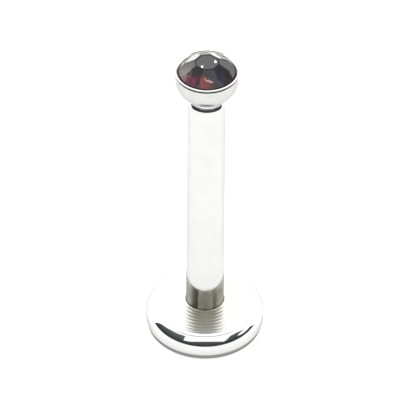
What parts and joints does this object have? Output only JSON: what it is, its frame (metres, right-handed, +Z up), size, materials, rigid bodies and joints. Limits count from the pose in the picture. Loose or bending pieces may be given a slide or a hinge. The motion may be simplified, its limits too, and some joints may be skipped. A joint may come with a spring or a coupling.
{
  "type": "labret stud",
  "caption": "Flat-back labret stud: a polished steel disc and post, with a faceted stone in a bezel cup whose stem screws into the open end of the post.",
  "frame": {"origin": "centre of the back disc's flat underside, on the axis of the post", "axes": "+Z runs up the post from the disc to the stone. The part is round about Z, and the picture's camera stands on the -Y side with +X to its right."},
  "size_m": [0.005, 0.005, 0.0144],
  "materials": {
    "base_steel": "mirror polished, with a finely turned top face on the disc",
    "setting_steel": "mirror polished",
    "stone_glass": "faceted, deep garnet red to purple"
  },
  "bodies": {
    "base": {"labret_base": "base_steel"},
    "head": {"jewel_setting": "setting_steel", "stone": "stone_glass"}
  },
  "joints": [
    {"name": "head_unscrew", "type": "slide", "parent": "base", "child": "head", "axis": [0, 0, 1], "range_m": [0, 0.014]}
  ]
}
